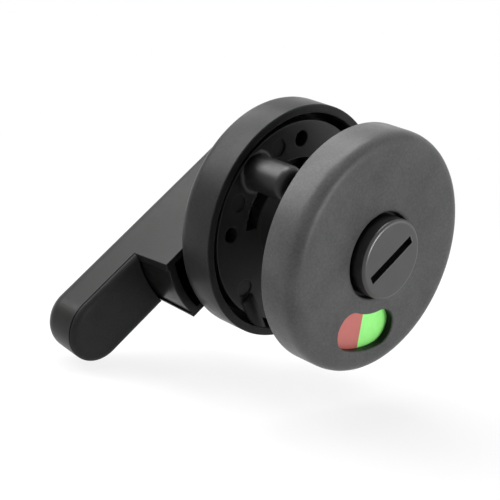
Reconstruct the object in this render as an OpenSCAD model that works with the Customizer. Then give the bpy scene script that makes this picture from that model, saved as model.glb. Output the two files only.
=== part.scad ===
// Toilet indicator bolt: two round roses clamp a door, a lever inside turns the coin turn and
// the red and green indicator outside.
// Each piece is drawn on the door's plan: x to the right and y up as seen from outside, z out of
// the door. stand() then sets it upright. Millimetres. z = 0 is the door's inside surface.

/* [Door] */
// Thickness of the door between the roses
door_t = 19.2; // [13:0.1:40]

/* [Roses] */
// Diameter of both roses
rose_d = 65; // [63:0.5:74]
// Depth of the outside rose, from the door to its front
outside_depth = 11; // [10:0.1:14]
// Depth of the inside rose, from the door to its rear
inside_depth = 12; // [11.4:0.1:16]
// Wall of the rims
rim_wall = 2.3; // [1.8:0.1:2.8]
// Wall of the roses' round faces
face_wall = 2.2; // [1.6:0.1:2.6]
// Round on the outside rose's front edge
outside_edge_r = 3.6; // [0.5:0.1:3.8]
// Round on the inside rose's rear edge
inside_edge_r = 3.6; // [0.5:0.1:3.8]

/* [Base plates] */
// Distance from the door to either base plate
plate_recess = 1.35; // [1.3:0.05:1.8]
// Thickness of the inside base plate
plate_t = 3; // [2.4:0.1:3.2]
// Thickness of the outside base plate
outside_plate_t = 2.5; // [2:0.1:2.8]
// Open groove between the inside base plate and the rim
plate_groove = 2.2; // [1.8:0.1:2.8]
// Ledge under the inside base plate's edge
ledge_w = 1.8; // [1.2:0.1:2.2]

/* [Fixings] */
// Distance of the screw holes and the pillars from the rose's edge
fixing_inset = 9.5; // [9:0.1:10.5]
// Turn of the fixings about the axis, from upright
fixing_turn = 7; // [-20:1:20]
// Diameter of the screw holes
screw_hole_d = 4.5; // [3.5:0.1:5]
// Diameter of a pillar
pillar_d = 9.6; // [8:0.1:9.8]
// Height of a pillar above its base plate
pillar_h = 14; // [8:0.1:15.5]
// Round on a pillar's nose
pillar_nose_r = 2.6; // [0.5:0.1:3]
// Diameter of the wide mouth of a pillar's hole
pillar_mouth_d = 5.2; // [5:0.1:5.6]
// Depth of that mouth
pillar_mouth_depth = 4; // [1:0.1:6]
// Fillet round a pillar's foot
pillar_fillet = 1.6; // [0.5:0.1:2]
// Diameter of the through bolts
bolt_d = 3.5; // [3:0.1:3.7]
// Diameter of a bolt's head
bolt_head_d = 7; // [6:0.1:7.4]
// Height of a bolt's head
bolt_head_h = 2.4; // [1.6:0.1:2.8]
// Width of the cross recess in a bolt's head
bolt_drive_w = 1.1; // [0.8:0.1:1.3]
// Length of the cross recess in a bolt's head
bolt_drive_l = 4.2; // [3:0.1:5]
// Diameter of the washer under a bolt's head
bolt_washer_d = 8; // [7.6:0.1:8.4]
// Thickness of that washer
bolt_washer_t = 0.6; // [0.4:0.1:0.9]
// Wall of a threaded insert
insert_wall = 1; // [0.7:0.1:1.2]
// Wall of plastic round an insert
insert_boss_wall = 1.2; // [0.8:0.1:1.4]
// Diameter of the ejector marks on the inside base plate
mark_d = 5; // [3:0.5:5.5]
// Depth of the ejector marks
mark_depth = 0.3; // [0.1:0.05:0.6]
// Angle between a pillar and the ejector marks beside it
mark_angle = 23.5; // [23:0.5:24]

/* [Catches] */
// Width of the half-round catches that hold the inside base plate
catch_w = 4.4; // [3:0.1:5]
// Height of the catches above the plate
catch_h = 1.15; // [0.8:0.05:1.25]
// Reach of the catches over the inside base plate
catch_lap = 3.5; // [2:0.1:4]
// Angle of the first catch's inner end
catch_angle = -121; // [-124:1:-118]
// Direction in which a catch runs, from its own angle
catch_skew = 68; // [60:1:70]
// Angle from the first catch to the second
catch_step = 139; // [137:1:142]
// Height of the snap beads that hold the outside base plate
bead_h = 0.9; // [0.5:0.05:1.1]
// Reach of the snap beads
bead_reach = 0.8; // [0.5:0.05:1]
// Angle that each snap bead covers
bead_angle = 24; // [10:1:40]
// Angle of the first snap bead
bead_start = 30; // [10:1:50]

/* [Lever] */
// Angle of the lever at rest, half way through its turn
lever_angle = -139.5; // [-145:0.5:-135]
// Width of the lever at its root, next to the rose
lever_w = 21; // [19:0.1:24]
// Draft of the lever's sides, which come closer to each other towards its back
lever_draft = 4.4; // [0:0.1:5]
// Reach of the lever's tip from the axis, at the seam
lever_reach = 63.7; // [56:0.1:90]
// Length of the lever behind the axis, at the seam
lever_tail = 17.5; // [16:0.25:26]
// Depth of the lever over the axis
lever_depth = 25.6; // [18:0.1:28]
// Step from the lever's root down to the seam with its pad
step_depth = 13.4; // [8:0.05:14]
// Radius of the step, about the axis
step_r = 35.6; // [35:0.1:44]
// Depth of the step's end below the cheeks beside it
step_rebate = 0.5; // [0.2:0.05:1]
// Distance from the cheeks' ends to the hollow behind the step
step_wall = 2.9; // [2:0.1:4]
// Wall of the lever
lever_wall = 2; // [1.5:0.1:2.6]
// Round on the lever's back edges
lever_edge_r = 4.6; // [1:0.1:5]
// Gap between the inside rose and the lever
lever_gap = 1.3; // [0.9:0.05:2]
// Height of the pad above the seam
pad_h = 2.05; // [1.95:0.05:3]
// Round on the pad's edges
pad_edge_r = 1.8; // [0.4:0.05:1.9]
// Depth of the pad's plug inside the lever
pad_plug = 2; // [1:0.1:4]
// Angle the lever turns down from rest, to upright
turn_down = 49.5; // [40:0.5:55]
// Angle the lever turns up from rest, to level
turn_up = 40.5; // [30:0.5:44]

/* [Lever hub] */
// Diameter of the lever's neck in its bush
neck_d = 16; // [15:0.1:16.4]
// Diameter of the boss inside the lever
boss_d = 18; // [17.2:0.1:18.6]
// Wall of the bush round the neck
bush_wall = 1.2; // [0.8:0.1:1.8]
// Thickness of the bush's flange
bush_flange_t = 0.8; // [0.5:0.05:0.85]
// Diameter of the bush's flange
bush_flange_d = 25; // [22:0.5:30]
// Thickness of the drive plate on the neck's end
drive_t = 2.5; // [2.2:0.1:2.8]
// Gap between the drive plate and the base plate
drive_gap = 1.5; // [0.6:0.1:1.6]
// Distance from the fixings' circle in to the arc slot that stops the turn
stop_slot_inset = 5.3; // [5:0.1:6]
// Width of the arc slot that stops the turn
stop_slot_w = 4.1; // [3:0.1:5]
// Angle at which the arc slot ends
stop_slot_end = 187; // [184:1:190]
// Angle that the stop lug covers
stop_lug_angle = 16; // [8:1:24]
// Land between the arc slot and the recess in the middle of the base plate
recess_land = 1.1; // [0.8:0.1:2]
// Depth of that recess
recess_depth = 1; // [0.4:0.1:1.4]
// Distance of the stop lug's end below the base plate's face
stop_lug_drop = 1; // [0.2:0.1:1.5]
// Margin of the drive plate round the arc slot
drive_margin = 0.6; // [0.3:0.1:0.7]
// Diameter of the drive plate's screws
drive_screw_d = 2.5; // [2:0.1:2.6]
// Length of the drive plate's screws under their heads
drive_screw_l = 9; // [6:0.5:14]
// Diameter of those screws' heads
drive_head_d = 4.4; // [3.6:0.1:4.6]
// Height of those screws' heads
drive_head_h = 1.2; // [0.8:0.1:1.4]
// Distance of those screws from the axis
drive_screw_r = 5.7; // [5.6:0.05:5.9]
// Inner diameter of the wave washer
wave_in_d = 20; // [19:0.5:22]
// Outer diameter of the wave washer
wave_out_d = 28.5; // [25:0.5:32]
// Thickness of the wave washer's steel
wave_t = 0.35; // [0.2:0.05:0.5]
// Number of waves
waves = 3; // [2:1:5]

/* [Spindle] */
// Width of the square spindle
spindle_w = 6; // [5:0.1:6.2]
// Plastic left under the spindle's socket in the lever
socket_floor = 1.3; // [0.8:0.1:3]
// Diameter of the spindle's cross pin
cross_pin_d = 2.5; // [1.5:0.1:3]
// Distance of the cross pin's ends from the boss's side
cross_pin_short = 0.5; // [0.2:0.1:1.5]
// Distance of the cross pin from the lever's root
cross_pin_drop = 9; // [6:0.5:12]

/* [Coin turn] */
// Diameter of the coin turn
coin_d = 21.6; // [19.5:0.1:23]
// Height of the coin turn above the rose
coin_h = 3.6; // [3.2:0.1:7]
// Round on the coin turn's front edge
coin_edge_r = 0.6; // [0.2:0.1:1.2]
// Length of the coin slot
slot_l = 16.4; // [12:0.1:17.5]
// Width of the coin slot
slot_w = 2.2; // [1.6:0.1:3]
// Depth of the coin slot
slot_depth = 2.8; // [1.5:0.1:3]
// Angle between the coin slot and the lever, from the spindle's play
slot_lag = -1.5; // [-3:0.5:3]
// Bevel along the coin slot's edges
slot_bevel = 0.3; // [0.1:0.05:0.6]
// Diameter of the coin turn's flange
flange_d = 27; // [26:0.5:29]
// Diameter of the coin turn's stem
stem_d = 14; // [13:0.1:15]
// Diameter of the two pegs that drive the indicator disc
peg_d = 1.8; // [1.2:0.1:1.9]
// Thickness of the clip on the stem
clip_t = 0.5; // [0.3:0.05:0.55]
// Depth of the clip's groove
clip_groove = 0.8; // [0.4:0.1:1]
// Reach of the clip beyond the stem
clip_reach = 1.5; // [0.8:0.1:2.5]
// Angle of the clip's opening
clip_open = 60; // [30:5:120]
// Thickness of the washer behind the clip
clip_washer_t = 0.35; // [0.2:0.05:0.4]
// Reach of that washer beyond the stem
clip_washer_reach = 2.6; // [1.5:0.1:4]

/* [Indicator] */
// Distance of the window from the rose's edge
window_inset = 6.4; // [5.8:0.1:7]
// Width of the window
window_w = 10.2; // [7:0.1:10.6]
// Angle between the centres of the window's round ends
window_angle = 32; // [20:1:40]
// Thickness of the indicator disc
disc_t = 1.2; // [0.8:0.1:1.4]
// Margin of the disc and its colours beyond the window
disc_margin = 0.8; // [0.4:0.05:0.9]
// Room round the disc in the rose
disc_room = 1.2; // [0.6:0.1:1.6]
// Thickness of the coloured films
film_t = 0.25; // [0.15:0.05:0.35]
// Gap between the films and the rose
film_gap = 0.25; // [0.2:0.05:0.4]
// Angle at which red meets green at rest
colour_angle = -88; // [-92:1:-86]
// Angle that each colour covers
colour_sweep = 92; // [88:1:110]

/* [Clearances] */
// Radial clearance of parts that turn in each other
run_clear = 0.06; // [0.02:0.01:0.1]
// Radial clearance of parts that are fixed in each other
fit_clear = 0.04; // [0.02:0.01:0.08]
// Gap between faces that slide past each other
slide_gap = 0.1; // [0.05:0.01:0.15]
// Gap between parts that pass each other freely
pass_gap = 0.3; // [0.2:0.05:0.35]
// Radial clearance of a bolt or screw in its hole
bolt_clear = 0.2; // [0.1:0.05:0.3]
// Gap round the coin turn in the rose
coin_clear = 0.8; // [0.2:0.05:1]
// Clearance of the stop lug at each side
lug_clear = 0.4; // [0.2:0.05:0.5]
// Angle left at each end of the arc slot
stop_clear_angle = 1; // [0.5:0.5:2]

/* [Hidden] */
$fn = 96;
cut = 1;
least_edge_r = 0.4;

rose_r = rose_d / 2;
rim_in_r = rose_r - rim_wall;
fixing_r = rose_r - fixing_inset;

// Heights of the inside rose, below the door
inside_rear = -inside_depth;
inside_floor = inside_rear + face_wall;
plate_front = -plate_recess;
plate_back = plate_front - plate_t;
plate_r = rim_in_r - plate_groove;
pillar_end = plate_front + pillar_h;
drive_front = plate_back - drive_gap;
drive_back = drive_front - drive_t;
neck_r = neck_d / 2;
bush_out_r = neck_r + run_clear + bush_wall;
wave_h = drive_back - inside_floor - slide_gap;
catch_start_r = plate_r - catch_lap;
catch_root_r = rim_in_r + rim_wall / 2;
catch_l = sqrt(pow(catch_root_r, 2) - pow(catch_start_r * sin(catch_skew), 2))
    - catch_start_r * cos(catch_skew) + catch_w / 2;

// Heights and places of the lever
lever_front = inside_rear - lever_gap;
lever_back = lever_front - lever_depth;
seam = lever_front - step_depth;
lever_half = lever_w / 2;
hollow_half = lever_half - lever_wall;
hollow_back = lever_back + lever_wall;
hollow_edge_r = max(lever_edge_r - lever_wall, least_edge_r);
function half_at(half_w, h) = half_w - tan(lever_draft) * (lever_front - h);
seam_half = half_at(lever_half, seam);
plug_half = half_at(hollow_half, seam - pad_plug) - bolt_clear;
lever_tip_x = lever_reach - seam_half;
lever_tail_x = seam_half - lever_tail;
step_in_r = step_r - step_wall;
boss_r = boss_d / 2;
socket_bottom = hollow_back + socket_floor;
socket_w = spindle_w + 2 * fit_clear;
cross_pin_z = lever_front - cross_pin_drop;
cross_pin_l = 2 * (boss_r - cross_pin_short);

// Stop slot, lug and drive plate
stop_slot_out = fixing_r - stop_slot_inset;
stop_slot_in = stop_slot_out - stop_slot_w;
drive_r = stop_slot_out + drive_margin;
lug_in = stop_slot_in + lug_clear;
lug_out = stop_slot_out - lug_clear;
lug_middle = stop_slot_end - turn_down - stop_lug_angle / 2 - stop_clear_angle;
stop_slot_start = lug_middle - turn_up - stop_lug_angle / 2 - stop_clear_angle;

// Heights of the outside rose, in front of the door
outside_front = door_t + outside_depth;
outside_floor = outside_front - face_wall;
outside_plate_back = door_t + plate_recess;
outside_plate_front = outside_plate_back + outside_plate_t;
outside_plate_r = rim_in_r - pass_gap;
film_front = outside_floor - film_gap;
disc_front = film_front - film_t;
disc_back = disc_front - disc_t;
window_r = rose_r - window_inset - window_w / 2;
disc_r = window_r + window_w / 2 + disc_margin;
disc_room_r = disc_r + disc_room;
film_in_r = window_r - window_w / 2 - disc_margin;
flange_back = outside_plate_front + slide_gap;
boss_front = disc_back - pass_gap;

// Coin turn
coin_r = coin_d / 2;
coin_front = outside_front + coin_h;
stem_r = stem_d / 2;
flange_r = flange_d / 2;
slot_bottom = coin_front - slot_depth;
coin_socket_end = slot_bottom - socket_floor;
peg_r_from_axis = (coin_r + flange_r) / 2;
clip_washer_back = outside_plate_back - slide_gap - clip_washer_t;
clip_front = clip_washer_back - slide_gap;
clip_back = clip_front - clip_t;
stem_end = door_t + fit_clear;

// Bolts
bolt_r = bolt_d / 2;
bolt_hole_r = bolt_r + bolt_clear;
insert_in_r = bolt_r + fit_clear;
insert_r = insert_in_r + insert_wall;
insert_hole_r = insert_r + fit_clear;
bolt_seat = plate_back - bolt_washer_t;
screw_angles = [for (i = [0 : 3]) fixing_turn + 90 * i];
pillar_angles = [fixing_turn + 135, fixing_turn + 315];

charcoal = [0.24, 0.24, 0.24];
black = [0.12, 0.12, 0.125];
steel = [0.7, 0.7, 0.72];

// Sets a shape drawn on the door's plan upright, with its z axis pointing out of the door
module stand() rotate([90, 0, 0]) children();

// Puts a shape at a distance from the axis, at an angle
module at(angle, r) rotate(angle) translate([r, 0, 0]) children();

// Cylinder between two heights
module rod(r, low, high) translate([0, 0, low]) cylinder(r = r, h = high - low);

// Ring between two radii and two heights
module ring(r_in, r_out, low, high) difference() {
    rod(r_out, low, high);
    rod(r_in, low - cut, high + cut);
}

// Part of a ring, from one angle to another
module arc(r_in, r_out, low, high, from, to) rotate(from) translate([0, 0, low])
    rotate_extrude(angle = to - from) translate([r_in, 0]) square([r_out - r_in, high - low]);

// Square prism between two heights
module square_bar(w, low, high) translate([-w / 2, -w / 2, low]) cube([w, w, high - low]);

// Half section, w wide and h high, with its upper outer corner rounded
module round_section(w, h, round_r) {
    square([w - round_r, h]);
    square([w, h - round_r]);
    translate([w - round_r, h - round_r]) intersection() {
        circle(r = round_r);
        square(round_r);
    }
}

// Solid disc with one rounded edge, on top
module round_disc(r, h, round_r) rotate_extrude() round_section(r, h, round_r);

// Bar with round ends and one rounded edge, on top. x_low and x_high are the ends' centres
module round_bar(x_low, x_high, half_w, h, round_r) {
    for (x = [x_low, x_high]) translate([x, 0, 0]) round_disc(half_w, h, round_r);
    translate([x_low, 0, 0]) rotate([90, 0, 90]) linear_extrude(x_high - x_low) {
        round_section(half_w, h, round_r);
        mirror([1, 0]) round_section(half_w, h, round_r);
    }
}

// Straight-edged bar with round ends, between two heights
module plain_bar(x_low, x_high, half_w, low, high) translate([0, 0, low])
    linear_extrude(high - low) {
        translate([x_low, -half_w]) square([x_high - x_low, 2 * half_w]);
        for (x = [x_low, x_high]) translate([x, 0]) circle(r = half_w);
    }

// Half-round catch on the rim that laps over the base plate
module catch(angle) {
    catch_r = (catch_w * catch_w / 4 + catch_h * catch_h) / (2 * catch_h);
    intersection() {
        at(angle, catch_start_r) rotate([0, 90, catch_skew])
            translate([catch_r - catch_h - plate_front, 0, 0]) cylinder(r = catch_r, h = catch_l);
        rod(catch_root_r, plate_front, 0);
    }
}

module inside_cover() color(charcoal) {
    difference() {
        mirror([0, 0, 1]) round_disc(rose_r, inside_depth, inside_edge_r);
        rod(rim_in_r, inside_floor, cut);
        rod(bush_out_r + fit_clear, inside_rear - cut, inside_floor + cut);
    }
    difference() {
        ring(plate_r - ledge_w, plate_r + fit_clear, inside_floor - face_wall / 2, plate_back);
        for (a = concat(screw_angles, pillar_angles)) at(a, fixing_r)
            rod(bolt_washer_d / 2 + pass_gap, inside_floor, plate_back + cut);
    }
    for (i = [0, 1]) catch(catch_angle + i * catch_step);
}

// Pillar with a round nose and a fillet at its foot
module pillar() translate([0, 0, plate_front]) {
    pillar_r = pillar_d / 2;
    round_disc(pillar_r, pillar_h, pillar_nose_r);
    rotate_extrude() difference() {
        square([pillar_r + pillar_fillet, pillar_fillet]);
        translate([pillar_r + pillar_fillet, pillar_fillet]) circle(r = pillar_fillet);
    }
}

module inside_base_plate() color(black) difference() {
    union() {
        rod(plate_r, plate_back, plate_front);
        intersection() {
            for (a = pillar_angles) at(a, fixing_r) pillar();
            rod(plate_r, plate_back, pillar_end);
        }
    }
    rod(drive_screw_r, plate_back - cut, plate_front + cut);
    rod(stop_slot_in - recess_land, plate_front - recess_depth, plate_front + cut);
    arc(stop_slot_in, stop_slot_out, plate_back - cut, plate_front + cut, stop_slot_start, stop_slot_end);
    for (a = screw_angles) at(a, fixing_r) rod(screw_hole_d / 2, plate_back - cut, plate_front + cut);
    for (a = pillar_angles) {
        at(a, fixing_r) rod(bolt_hole_r, plate_back - cut, pillar_end + cut);
        at(a, fixing_r) rod(pillar_mouth_d / 2, pillar_end - pillar_mouth_depth, pillar_end + cut);
        for (beside = [-mark_angle, mark_angle, 90])
            at(a + beside, fixing_r) rod(mark_d / 2, plate_front - mark_depth, plate_front + cut);
    }
}

module hub_bush() color(black) {
    ring(neck_r + run_clear, bush_out_r, inside_rear - bush_flange_t, inside_floor);
    ring(neck_r + run_clear, bush_flange_d / 2, inside_rear - bush_flange_t, inside_rear);
}

// Spring steel ring that rises and falls as it goes round
module wave_washer() {
    steps = 24 * waves;
    radii = [wave_in_d / 2, wave_out_d / 2];
    swing = (wave_h - wave_t) / 2;
    function wave_point(i, r, top) = let (a = 360 * i / steps)
        [r * cos(a), r * sin(a), inside_floor + swing * (1 - cos(waves * a)) + (top ? wave_t : 0)];
    points = [for (i = [0 : steps - 1]) each [wave_point(i, radii[0], false),
        wave_point(i, radii[1], false), wave_point(i, radii[1], true), wave_point(i, radii[0], true)]];
    faces = [for (i = [0 : steps - 1], k = [0 : 3])
        let (here = 4 * i, next = 4 * ((i + 1) % steps), m = (k + 1) % 4)
        each [[here + k, next + k, here + m], [here + m, next + k, next + m]]];
    color(steel) polyhedron(points, faces);
}

module through_bolts() color(steel) for (a = pillar_angles) at(a, fixing_r) difference() {
    union() {
        rod(bolt_r, bolt_seat - cut, boss_front);
        rod(bolt_head_d / 2, bolt_seat - bolt_head_h, bolt_seat);
    }
    for (turn = [0, 90]) rotate(turn) translate([0, 0, bolt_seat - bolt_head_h])
        cube([bolt_drive_l, bolt_drive_w, bolt_head_h], center = true);
}

module bolt_washers() color(steel) for (a = pillar_angles) at(a, fixing_r)
    ring(bolt_hole_r, bolt_washer_d / 2, bolt_seat, plate_back);

module window(low, high) {
    half = window_angle / 2;
    arc(window_r - window_w / 2, window_r + window_w / 2, low, high, -90 - half, -90 + half);
    for (side = [-half, half]) at(side - 90, window_r) rod(window_w / 2, low, high);
}

module outside_cover() color(charcoal) {
    difference() {
        translate([0, 0, door_t]) round_disc(rose_r, outside_depth, outside_edge_r);
        rod(rim_in_r, door_t - cut, outside_plate_front);
        rod(disc_room_r, door_t, outside_floor);
        rod(coin_r + coin_clear, door_t, outside_front + cut);
        window(outside_floor - cut, outside_front + cut);
    }
    for (i = [0 : 2]) let (from = bead_start + 120 * i)
        arc(rim_in_r - bead_reach, rim_in_r + rim_wall / 2, outside_plate_back - bead_h,
            outside_plate_back, from, from + bead_angle);
}

module outside_base_plate() color(black) difference() {
    union() {
        rod(outside_plate_r, outside_plate_back, outside_plate_front);
        for (a = pillar_angles) at(a, fixing_r)
            rod(insert_hole_r + insert_boss_wall, outside_plate_back, boss_front);
    }
    rod(stem_r + run_clear, outside_plate_back - cut, outside_plate_front + cut);
    for (a = pillar_angles) at(a, fixing_r) rod(insert_hole_r, outside_plate_back - cut, boss_front + cut);
}

module threaded_inserts() color("goldenrod") for (a = pillar_angles) at(a, fixing_r)
    ring(insert_in_r, insert_r, outside_plate_back, boss_front);

module clip_washer() color(steel)
    ring(stem_r + bolt_clear, stem_r + clip_washer_reach, clip_washer_back, outside_plate_back - slide_gap);

// Half section of the lever from its back up to a height. half_w is its half width at the root
module lever_section(half_w, back, high, round_r) {
    round_top = back + round_r;
    side = half_at(half_w, round_top);
    translate([0, back]) square([side - round_r, round_r]);
    polygon([[0, round_top], [side, round_top], [half_at(half_w, high), high], [0, high]]);
    translate([side - round_r, round_top]) intersection() {
        circle(r = round_r);
        translate([0, -round_r]) square(round_r);
    }
}

// The lever's shape, or the shape of its hollow, from its back up to a height
module lever_shape(half_w, back, high, round_r) {
    for (x = [lever_tail_x, lever_tip_x]) translate([x, 0, 0])
        rotate_extrude() lever_section(half_w, back, high, round_r);
    translate([lever_tail_x, 0, 0]) rotate([90, 0, 90]) linear_extrude(lever_tip_x - lever_tail_x) {
        lever_section(half_w, back, high, round_r);
        mirror([1, 0]) lever_section(half_w, back, high, round_r);
    }
}

// Space of the step's round end between two heights: the cheeks reach further out than its middle
module step_round(grow, low, high) {
    rod(step_r - step_rebate + grow, low, high);
    difference() {
        rod(step_r + grow, low, high);
        translate([0, grow - hollow_half, low - cut])
            cube([step_r + grow + cut, 2 * (hollow_half - grow), high - low + 2 * cut]);
    }
}

// Space below the lever's seam
module below_seam() translate([-lever_reach, -lever_w, lever_back - cut])
    cube([2 * lever_reach + lever_w, 2 * lever_w, seam - lever_back + cut]);

module lever() color(charcoal) rotate(lever_angle) difference() {
    union() {
        difference() {
            intersection() {
                lever_shape(lever_half, lever_back, lever_front, lever_edge_r);
                union() {
                    below_seam();
                    step_round(0, seam - cut, lever_front + cut);
                }
            }
            intersection() {
                lever_shape(hollow_half, hollow_back, lever_front + cut, hollow_edge_r);
                union() {
                    below_seam();
                    rod(step_in_r, seam - cut, lever_front + 2 * cut);
                }
            }
        }
        intersection() {
            lever_shape(lever_half - lever_wall / 2, hollow_back - lever_wall / 2, lever_front, hollow_edge_r);
            rod(boss_r, lever_back, lever_front + cut);
        }
        rod(neck_r, lever_front - cut, drive_back);
    }
    square_bar(socket_w, socket_bottom, drive_back + cut);
    for (side = [-1, 1]) translate([0, side * drive_screw_r, 0])
        rod(drive_screw_d / 2 + fit_clear, drive_back - drive_screw_l, drive_back + cut);
    translate([0, 0, cross_pin_z]) rotate([0, 90, 0])
        cylinder(r = cross_pin_d / 2 + fit_clear, h = cross_pin_l + 2 * fit_clear, center = true);
}

module lever_pad() color(black) rotate(lever_angle) difference() {
    union() {
        translate([0, 0, seam]) round_bar(lever_tail_x, lever_tip_x, seam_half, pad_h, pad_edge_r);
        plain_bar(lever_tail_x, lever_tip_x, plug_half, seam - pad_plug, seam + pad_h / 2);
    }
    step_round(slide_gap, seam - pad_plug - cut, seam + pad_h + cut);
}

module drive_plate() color(steel) difference() {
    union() {
        rod(drive_r, drive_back, drive_front);
        arc(lug_in, lug_out, drive_back, plate_front - stop_lug_drop,
            lug_middle - stop_lug_angle / 2, lug_middle + stop_lug_angle / 2);
    }
    rotate(lever_angle) {
        square_bar(socket_w, drive_back - cut, drive_front + cut);
        for (side = [-1, 1]) translate([0, side * drive_screw_r, 0]) {
            rod(drive_screw_d / 2 + fit_clear, drive_back - cut, drive_front + cut);
            rod(drive_head_d / 2 + fit_clear, drive_front - drive_head_h, drive_front + cut);
        }
    }
}

module drive_screws() color(steel) rotate(lever_angle) for (side = [-1, 1])
    translate([0, side * drive_screw_r, 0]) {
        rod(drive_screw_d / 2, drive_back - drive_screw_l + cut, drive_front);
        rod(drive_head_d / 2, drive_front - drive_head_h, drive_front);
    }

module spindle() color(steel) rotate(lever_angle) difference() {
    square_bar(spindle_w, socket_bottom, coin_socket_end - pass_gap);
    translate([0, 0, cross_pin_z]) rotate([0, 90, 0])
        cylinder(r = cross_pin_d / 2 + fit_clear, h = spindle_w + 2 * cut, center = true);
}

module cross_pin() color(steel) rotate(lever_angle) translate([0, 0, cross_pin_z])
    rotate([0, 90, 0]) cylinder(r = cross_pin_d / 2, h = cross_pin_l, center = true);

// Slot for a coin, with bevelled long edges
module coin_slot() rotate([90, 0, 90]) translate([0, coin_front, -slot_l / 2]) linear_extrude(slot_l)
    polygon([[-slot_w / 2, -slot_depth], [slot_w / 2, -slot_depth], [slot_w / 2, -slot_bevel],
        [slot_w / 2 + slot_bevel, 0], [slot_w / 2 + slot_bevel, cut], [-slot_w / 2 - slot_bevel, cut],
        [-slot_w / 2 - slot_bevel, 0], [-slot_w / 2, -slot_bevel]]);

module drive_pegs(r, high) for (side = [0, 180]) at(side + 90, peg_r_from_axis)
    rod(r, disc_back - disc_t / 2, high);

module coin_turn() color(charcoal) rotate(lever_angle) difference() {
    union() {
        translate([0, 0, disc_back - cut]) round_disc(coin_r, coin_front - disc_back + cut, coin_edge_r);
        rod(flange_r, flange_back, disc_back);
        rod(stem_r, stem_end, flange_back + cut);
        drive_pegs(peg_d / 2, disc_front);
    }
    rotate(slot_lag) coin_slot();
    square_bar(socket_w, stem_end - cut, coin_socket_end);
    ring(stem_r - clip_groove, stem_r + cut, clip_back - fit_clear, clip_front + fit_clear);
}

module indicator_disc() color(black) rotate(lever_angle) difference() {
    ring(coin_r + fit_clear, disc_r, disc_back, disc_front);
    drive_pegs(peg_d / 2 + fit_clear, disc_front + cut);
}

module field(from, to) arc(film_in_r, disc_r, disc_front, film_front, from, to);

module red_field() color([0.76, 0.45, 0.42]) field(colour_angle - colour_sweep, colour_angle);

module green_field() color([0.59, 0.92, 0.51]) field(colour_angle, colour_angle + colour_sweep);

module stem_clip() color(steel) rotate(lever_angle)
    arc(stem_r - clip_groove + fit_clear, stem_r + clip_reach, clip_back, clip_front,
        clip_open / 2, 360 - clip_open / 2);

stand() inside_cover();
stand() inside_base_plate();
stand() hub_bush();
stand() wave_washer();
stand() through_bolts();
stand() bolt_washers();
stand() outside_cover();
stand() outside_base_plate();
stand() threaded_inserts();
stand() clip_washer();
stand() lever();
stand() lever_pad();
stand() drive_plate();
stand() drive_screws();
stand() spindle();
stand() cross_pin();
stand() coin_turn();
stand() indicator_disc();
stand() red_field();
stand() green_field();
stand() stem_clip();
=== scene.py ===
# %% [markdown]
# # A toilet indicator bolt in Blender
# Two round roses clamp a cubicle door. A lever inside turns a slotted coin turn outside, over a
# window that shows red or green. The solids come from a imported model, which is loaded first and
# never moved. This lesson dresses them: the mouldings that show are made again as smooth meshes
# with rounded edges, and every piece gets a finish built from nodes.

# %% Load the model
import math

import bmesh
import bpy
from mathutils import Matrix, Vector


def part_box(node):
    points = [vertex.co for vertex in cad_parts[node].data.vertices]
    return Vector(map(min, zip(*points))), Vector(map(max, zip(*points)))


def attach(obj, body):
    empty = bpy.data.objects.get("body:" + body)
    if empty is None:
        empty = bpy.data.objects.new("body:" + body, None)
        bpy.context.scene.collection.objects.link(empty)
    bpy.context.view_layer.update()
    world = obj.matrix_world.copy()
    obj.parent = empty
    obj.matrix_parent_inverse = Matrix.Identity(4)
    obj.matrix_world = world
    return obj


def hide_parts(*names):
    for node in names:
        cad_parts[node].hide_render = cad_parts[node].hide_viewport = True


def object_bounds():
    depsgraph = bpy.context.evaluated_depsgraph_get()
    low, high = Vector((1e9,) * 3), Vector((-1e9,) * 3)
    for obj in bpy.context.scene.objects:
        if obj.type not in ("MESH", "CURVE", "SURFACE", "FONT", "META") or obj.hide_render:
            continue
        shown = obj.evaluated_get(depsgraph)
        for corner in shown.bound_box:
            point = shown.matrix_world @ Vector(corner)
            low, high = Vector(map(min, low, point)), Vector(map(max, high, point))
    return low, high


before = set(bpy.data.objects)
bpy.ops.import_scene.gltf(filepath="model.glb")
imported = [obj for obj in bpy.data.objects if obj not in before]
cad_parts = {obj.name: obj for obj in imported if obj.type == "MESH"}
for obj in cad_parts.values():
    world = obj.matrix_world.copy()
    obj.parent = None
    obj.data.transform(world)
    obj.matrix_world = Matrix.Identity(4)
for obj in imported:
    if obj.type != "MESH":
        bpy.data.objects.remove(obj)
cad_low, cad_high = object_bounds()

# %% [markdown]
# ## Sizes from the model
# A lathe works from a drawing, and so do these meshes: x to the right and y up as seen from
# outside, h out of the door, all in millimetres. h is 0 on the door's inside surface. The main
# sizes are read from the boxes of the solids, so the meshes follow them. Walls, rounds and
# clearances can't be read from a box, so they are named where they are first needed.

# %% Read the main sizes
MM = 0.001


def heights(node):
    """Lowest and highest h of a node, in millimetres."""
    low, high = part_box(node)
    return -high.y / MM, -low.y / MM


rose_r = (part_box("outside_cover")[1].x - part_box("outside_cover")[0].x) / 2 / MM
door_side, outside_front = heights("outside_cover")
inside_rear, inside_rim = heights("inside_cover")
plate_back = heights("bolt_washers")[1]
pillar_end = heights("inside_base_plate")[1]
stem_end, coin_front = heights("coin_turn")
lever_back, neck_end = heights("lever")
pad_top = heights("lever_pad")[1]
disc_back = heights("indicator_disc")[0]
print(f"rose radius {rose_r:.1f}, door {door_side:.1f}")
print(f"coin turn to {coin_front:.1f}, lever to {lever_back:.1f}")

# %% Name the walls and angles
rim_wall = 2.3
face_wall = 2.2
rim_in_r = rose_r - rim_wall
outside_floor = outside_front - face_wall
inside_floor = inside_rear + face_wall
plate_t = 3.0
plate_front = plate_back + plate_t
lever_angle = -139.5
slot_angle = -141.0
print(f"rim wall {rim_wall}, face wall {face_wall}, base plate front at {plate_front:.2f}")

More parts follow.
